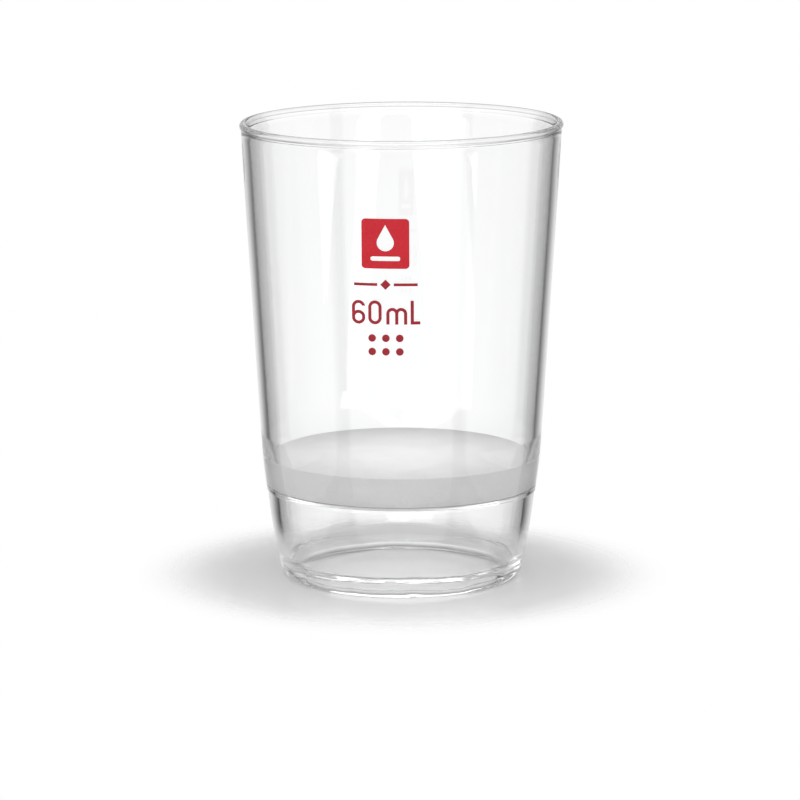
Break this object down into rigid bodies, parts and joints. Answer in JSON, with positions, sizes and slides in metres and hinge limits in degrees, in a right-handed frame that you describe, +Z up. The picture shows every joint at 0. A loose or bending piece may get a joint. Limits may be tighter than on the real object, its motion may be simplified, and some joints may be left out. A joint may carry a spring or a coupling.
{
  "type": "sintered glass filter crucible",
  "caption": "Clear tapered glass filter cup with a fused porous glass disc, a short open collar and a rounded foot, used for suction filtering.",
  "frame": {"origin": "centre of the foot on the surface that it stands on", "axes": "+Z up along the axis of the glass, -Y towards the enamel marks, +X to the right of the marks"},
  "size_m": [0.048, 0.048, 0.0685],
  "materials": {
    "barrel_glass": "clear borosilicate, polished",
    "seal_glass": "clear borosilicate, flame fused",
    "collar_glass": "clear borosilicate, flame worked",
    "foot_glass": "clear borosilicate, fire polished",
    "sintered_glass": "matt sintered glass, fine porosity",
    "badge_enamel": "fired red enamel",
    "mark_enamel": "fired dark red enamel"
  },
  "bodies": {
    "root": {"upper_barrel": "barrel_glass", "seal_ring": "seal_glass", "filter_disc": "sintered_glass", "lower_collar": "collar_glass", "foot_bead": "foot_glass", "badge_print": "badge_enamel", "divider_print": "mark_enamel", "capacity_print": "mark_enamel", "porosity_print": "mark_enamel"}
  },
  "joints": []
}
